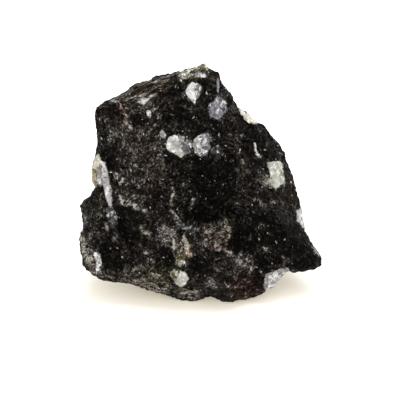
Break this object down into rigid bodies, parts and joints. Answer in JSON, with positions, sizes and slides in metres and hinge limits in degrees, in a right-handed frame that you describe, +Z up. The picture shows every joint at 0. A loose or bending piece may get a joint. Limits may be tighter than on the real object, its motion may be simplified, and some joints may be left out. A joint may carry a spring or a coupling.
{
  "type": "rock specimen",
  "caption": "Hand-sized piece of dark, fine-grained igneous rock with scattered white feldspar crystals, broken on all sides, resting on a small flat spot.",
  "frame": {"origin": "middle of the stone's bounding box, on the surface that it rests on", "axes": "+X to the right and +Y away from someone who faces the stone's front, +Z up"},
  "size_m": [0.0446, 0.033, 0.0406],
  "materials": {
    "rock": "rough broken rock, dark and finely grained, with glinting white and bluish feldspar crystals"
  },
  "bodies": {
    "root": {"stone": "rock"}
  },
  "joints": []
}
